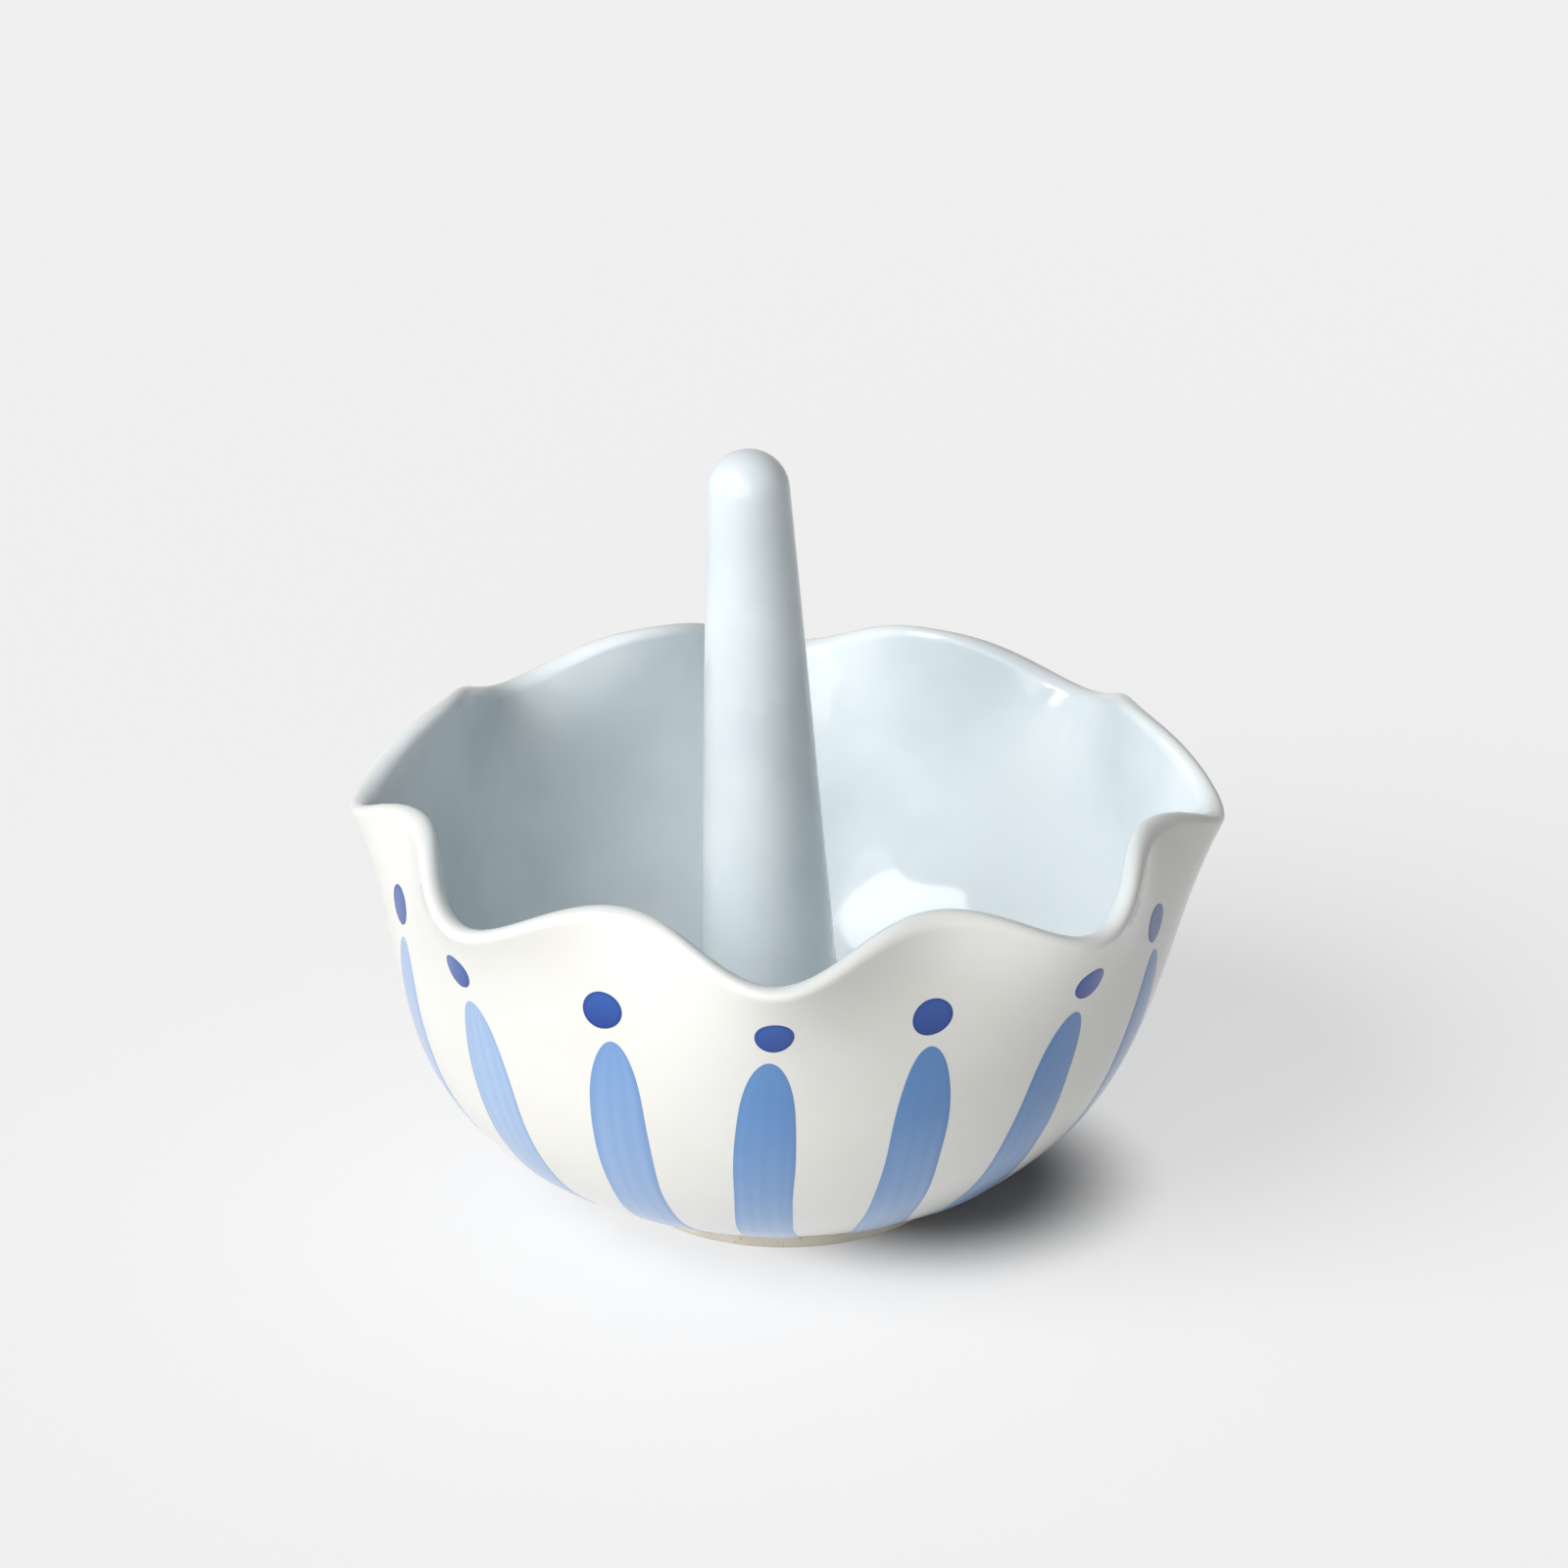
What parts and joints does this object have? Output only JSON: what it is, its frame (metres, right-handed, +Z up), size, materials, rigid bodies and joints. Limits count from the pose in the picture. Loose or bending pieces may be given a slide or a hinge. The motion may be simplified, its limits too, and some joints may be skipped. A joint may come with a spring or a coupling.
{
  "type": "ring dish",
  "caption": "Glazed stoneware ring dish: a ruffled bowl on a low foot ring, with a tall round-tipped ring cone standing in its middle.",
  "frame": {"origin": "on the table, under the centre of the rim's outline", "axes": "+Z up, the front valley of the ruffle towards -Y, the foot and the cone's lean towards -X"},
  "size_m": [0.1084, 0.1084, 0.0972],
  "materials": {
    "bare_clay": "bare fired clay, matte",
    "clay_body": "fired clay under glaze",
    "white_glaze": "warm white glaze, gloss",
    "pale_blue_glaze": "pale blue-white glaze, gloss",
    "cobalt_slip": "brushed cobalt, gloss",
    "light_blue_slip": "brushed light blue, gloss"
  },
  "bodies": {
    "root": {"foot_ring": "bare_clay", "bowl_body": "clay_body", "outer_glaze": "white_glaze", "liner_glaze": "pale_blue_glaze", "slip_joint": "clay_body", "ring_cone": "clay_body", "cone_glaze": "pale_blue_glaze", "dot_marks": "cobalt_slip", "petal_marks": "light_blue_slip"}
  },
  "joints": []
}
